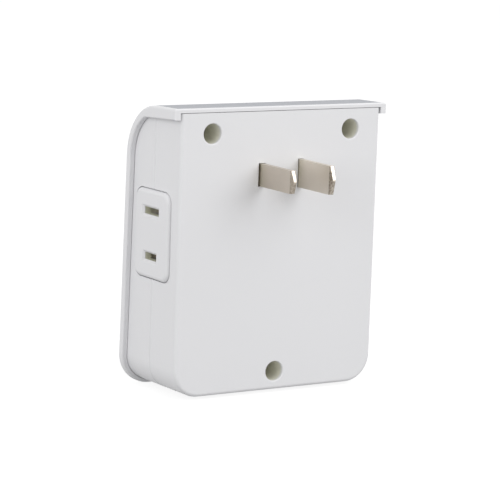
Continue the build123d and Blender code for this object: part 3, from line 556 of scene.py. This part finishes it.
def copy_of(node, name):
    """A copy of a CAD node, its loose triangles merged and its flat faces made whole."""
    piece = frame["nodes"][node].copy()
    piece.data = piece.data.copy()
    piece.name = name
    piece.data.name = name
    for key in list(piece.keys()):
        del piece[key]
    piece.parent = None
    bpy.context.scene.collection.objects.link(piece)
    edit(piece, merge_points, lambda: bpy.ops.mesh.dissolve_limited(angle_limit=flat_angle))
    return piece


def dressed(node, slot, edge, finish=None, corner=30):
    """A smooth copy of a node of the case that stands for it, with its edges rounded."""
    piece = copy_of(node, node + "_shown")
    soften(piece, edge, corner)
    smooth(piece)
    settle(piece, finish or slot, stands_for=[node])


record_slots = {entry["node"]: entry["material_slot"] for entry in frame["record"]["subparts"]}

for node, thing in frame["nodes"].items():
    thing.data.materials.clear()
    thing.data.materials.append(finishes[record_slots[node]])

small_edge = 0.06 * mm
glass_edge = 0.15 * mm
dressed("lcd_panel", "lcd_glass", glass_edge)
for blade in ("hot", "neutral"):
    dressed(blade + "_blade", "blade_nickel", small_edge, blade + "_plating", corner=10)
dressed("case_screws", "screw_steel", small_edge)

# ---------------------------------------------------------------- keys
cap_hollow = 0.2 * mm
bar_hollow = 0.3 * mm  # of the wide ON/OFF key
roller_sides = 256


def key_cap(node, hollow):
    """A key whose front is hollowed across its width for a fingertip. Its node is also its body."""
    cap = copy_of(node, node + "_shown")
    low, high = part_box(node)
    half = (high.x - low.x) / 2 - key_flange - key_edge
    radius = (half ** 2 + hollow ** 2) / (2 * hollow)
    middle = (low + high) / 2
    roller = fresh(
        bpy.ops.mesh.primitive_cylinder_add,
        "roller",
        vertices=roller_sides,
        radius=radius,
        depth=3 * (high.z - low.z),
        location=(middle.x, low.y + hollow - radius, middle.z),
    )
    cut_away(cap, roller)
    smooth(cap)
    settle(cap, record_slots[node], node, [node])


for body in frame["bodies"]:
    if body.endswith("_key"):
        key_cap(body, bar_hollow if body == "on_off_key" else cap_hollow)

# ---------------------------------------------------------------- print on the film
print_half = 0.008 * mm  # half the thickness of a layer of ink
cap_share = 0.73  # height of a capital over the size of its lettering
label_rise = 1.9 * mm  # middle of a label above its key
label_height = 1.5 * mm
labels = {
    "clock_key": "CLOCK",
    "day_key": "DAY",
    "hour_key": "HOUR",
    "minute_key": "MIN",
    "program_key": "SET",
    "on_off_key": "ON/OFF",
    "random_key": "RANDOM",
}


def lettering(name, words, height, weight=0.0):
    """Flat lettering in the XY plane, as a closed mesh. The weight thickens its strokes."""
    piece = fresh(bpy.ops.object.text_add, name)
    piece.data.body = words
    piece.data.size = height / cap_share
    piece.data.align_x = "CENTER"
    piece.data.align_y = "CENTER"
    piece.data.offset = weight * piece.data.size
    piece.data.extrude = print_half
    piece.data.resolution_u = 6
    only(piece)
    bpy.ops.object.convert(target="MESH")
    edit(piece, merge_points)
    return piece


def label(key, words):
    """The word printed above a key."""
    low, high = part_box(key)
    height = high.z - key_flange + label_rise
    piece = lettering(key + "_label", words, label_height)
    stand(piece, (low.x + high.x) / 2, front_depth(height) + print_half, height, front_lean)
    settle(piece, "ink")


for key, words in labels.items():
    label(key, words)


def rounded_plate(name, width, height, thickness, corner, segments=8):
    """A flat plate in the XY plane with rounded corners."""
    plate = fresh(bpy.ops.mesh.primitive_cube_add, name, size=1)
    plate.scale = (width, height, thickness)
    put(plate, (0, 0, 0))
    bpy.ops.object.mode_set(mode="EDIT")
    bpy.ops.mesh.select_mode(type="EDGE")
    bpy.ops.mesh.select_all(action="DESELECT")
    bpy.ops.object.mode_set(mode="OBJECT")
    for edge in plate.data.edges:
        first, second = (plate.data.vertices[i].co for i in edge.vertices)
        edge.select = abs(first.z - second.z) > thickness / 2
    bpy.ops.object.mode_set(mode="EDIT")
    bpy.ops.mesh.bevel(offset=corner, segments=segments, affect="EDGES", clamp_overlap=True)
    bpy.ops.object.mode_set(mode="OBJECT")
    return plate


def window_border():
    """The dark border printed around the display window."""
    reach = 1.9 * mm
    reach_corner = 3.5 * mm
    gap = 0.2 * mm
    gap_corner = 1.8 * mm
    low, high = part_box("display_window")
    width = high.x - low.x
    height = high.z - low.z
    outside = (width + 2 * reach, height + 2 * reach, 2 * print_half)
    opening = (width + 2 * gap, height + 2 * gap, 8 * print_half)
    border = rounded_plate("window_border", *outside, reach_corner)
    inner = rounded_plate("opening", *opening, gap_corner)
    cut_away(border, inner)
    middle = (low.z + high.z) / 2
    stand(border, 0, front_depth(middle) + print_half, middle, front_lean)
    settle(border, "ink")


window_border()

# ---------------------------------------------------------------- display
digit_height = 9.0 * mm
digit_width = 4.7 * mm
stroke = 0.95 * mm
stroke_gap = 0.12 * mm
stroke_point = 0.49 * stroke  # bevel that brings the end of a stroke to a point
digit_step = 6.5 * mm
colon_room = 2.2 * mm
colon_half = digit_height / 5
colon_corner = 0.3 * stroke
time_x = 1.6 * mm
time_drop = 1.5 * mm  # below the middle of the glass
days = 7
day_rise = 5.5 * mm
day_step = 4.6 * mm
day_weight = 0.03
small_digit = 1.6 * mm
mark_width = 2.2 * small_digit
mark_thickness = 0.35 * mm
mark_corner = 0.1 * mm
noon_x = -16.4 * mm
hour_digits = 2
shown_time = "1200"
shown_day = 3

# Each stroke of a digit is (x, z, upright), in the order: top, upper right, lower right, bottom,
# lower left, upper left, middle
half_across = (digit_width - stroke) / 2
half_tall = (digit_height - stroke) / 2
strokes = [
    (0, half_tall, False),
    (half_across, half_tall / 2, True),
    (half_across, -half_tall / 2, True),
    (0, -half_tall, False),
    (-half_across, -half_tall / 2, True),
    (-half_across, half_tall / 2, True),
    (0, 0, False),
]
lit = {"0": (0, 1, 2, 3, 4, 5), "1": (1, 2), "2": (0, 1, 6, 4, 3)}


def stroke_bar(x, z, upright):
    """One stroke of a digit: a thin bar with pointed ends."""
    length = (half_tall if upright else 2 * half_across) - stroke_gap
    bar = rounded_plate("stroke", length, stroke, 2 * print_half, stroke_point, 1)
    return put(bar, (x, z, 0), (0, 0, radians(90) if upright else 0))


def on_glass(pieces, name, finish):
    """Join flat pieces and set them on the display glass."""
    print_layer = joined(pieces, name)
    middle = (glass_low.z + glass_high.z) / 2
    stand(print_layer, 0, -glass_low.y + 2 * print_half, middle)
    settle(print_layer, finish)


def display():
    """The time, the days' numbers and a mark under one of them. The other strokes and marks are faint."""
    dark = []
    faint = []
    for place, digit in enumerate(shown_time):
        shift = -colon_room / 2 if place < hour_digits else colon_room / 2
        x = time_x + (place - (len(shown_time) - 1) / 2) * digit_step + shift
        for i, (across, rise, upright) in enumerate(strokes):
            bar = stroke_bar(x + across, rise - time_drop, upright)
            (dark if i in lit[digit] else faint).append(bar)
    for side in (-1, 1):
        dot = rounded_plate("dot", stroke, stroke, 2 * print_half, colon_corner, 3)
        dark.append(put(dot, (time_x, side * colon_half - time_drop, 0)))
    for day in range(1, days + 1):
        x = (day - (days + 1) / 2) * day_step
        number = lettering("day_number", str(day), small_digit, day_weight)
        dark.append(put(number, (x, day_rise, 0)))
        mark = rounded_plate("mark", mark_width, mark_thickness, 2 * print_half, mark_corner, 2)
        put(mark, (x, day_rise - small_digit, 0))
        (dark if day == shown_day else faint).append(mark)
    noon = lettering("noon", "PM", small_digit)
    dark.append(put(noon, (noon_x, -time_drop, 0)))
    on_glass(dark, "lit_strokes", "lcd_ink")
    on_glass(faint, "unlit_strokes", "lcd_ghost")


display()

# ---------------------------------------------------------------- camera, lights and floor
camera_place = Vector((359.54, 557.72, 88.36)) * mm
camera_yaw = radians(32.12)
camera_pitch = radians(9.42)
camera_roll = radians(1.97)
camera_lens = 173.41
camera_sensor = 36.0
camera_near = 0.01

facing = Matrix.Rotation(-camera_yaw, 3, "Z")
backward = facing @ Matrix.Rotation(camera_pitch, 3, "X") @ Vector((0, 1, 0))
sideways = facing @ Vector((-1, 0, 0))
roll = Matrix.Rotation(camera_roll, 3, backward)
right = roll @ sideways
up = roll @ backward.cross(sideways)
turn = Matrix((right, up, backward)).transposed().to_4x4()

camera = bpy.data.objects.new("camera", bpy.data.cameras.new("camera"))
bpy.context.scene.collection.objects.link(camera)
camera.matrix_world = Matrix.Translation(camera_place) @ turn
camera.data.lens = camera_lens
camera.data.sensor_width = camera_sensor
camera.data.clip_start = camera_near
bpy.context.scene.camera = camera

lamp_distance = 1.2
lamp_size = 1.0


def lamp(name, rightward, upward, towards, power):
    """A soft square lamp, placed as seen by the camera and aimed at the middle of the case."""
    aim = (case_low + case_high) / 2
    direction = (sideways * rightward + backward * towards + Vector((0, 0, upward))).normalized()
    light = bpy.data.objects.new(name, bpy.data.lights.new(name, "AREA"))
    light.data.energy = power
    light.data.size = lamp_size
    bpy.context.scene.collection.objects.link(light)
    aimed = direction.to_track_quat("Z", "Y").to_matrix().to_4x4()
    light.matrix_world = Matrix.Translation(aim + direction * lamp_distance) @ aimed


lamp("key_lamp", 0.79, 0.55, 0.37, power=7.6)
lamp("fill_lamp", -0.85, 0.2, 0.85, power=6.2)


def direct_view(recipe):
    """1 for camera, glossy and transmission rays."""
    to_camera = recipe.node("LightPath", output="Is Camera Ray")
    glossy = recipe.node("LightPath", output="Is Glossy Ray")
    through = recipe.node("LightPath", output="Is Transmission Ray")
    total = to_camera + glossy + through
    return total.maths("MINIMUM", total, 1.0)


def studio():
    """A white surround for the camera and for reflections, and an even grey one for diffuse light."""
    diffuse = 0.68
    world = bpy.data.worlds.new("studio")
    bpy.context.scene.world = world
    recipe = Recipe(world)
    background = recipe.tree.nodes["Background"]
    recipe.plug(background.inputs["Color"], (1, 1, 1, 1))
    recipe.plug(background.inputs["Strength"], diffuse + direct_view(recipe) * (1 - diffuse))


def floor():
    """A pale floor that reads white and keeps a soft shadow where the case stands."""
    size = 6.0
    gap = 0.02 * mm
    grey = 0.25
    glow = 0.15
    seen_glow = 0.7
    height = cad_box[0].z - gap
    ground = fresh(bpy.ops.mesh.primitive_plane_add, "floor", size=size, location=(0, 0, height))
    material = bpy.data.materials.new("floor")
    recipe = Recipe(material)
    shader = recipe.tree.nodes["Principled BSDF"]
    recipe.plug(shader.inputs["Base Color"], (grey, grey, grey, 1))
    recipe.plug(shader.inputs["Roughness"], 1.0)
    recipe.plug(shader.inputs["Specular IOR Level"], 0.0)
    recipe.plug(shader.inputs["Emission Color"], (1, 1, 1, 1))
    recipe.plug(shader.inputs["Emission Strength"], glow + direct_view(recipe) * seen_glow)
    ground.data.materials.append(material)


studio()
floor()
bpy.context.scene.view_settings.view_transform = "Standard"
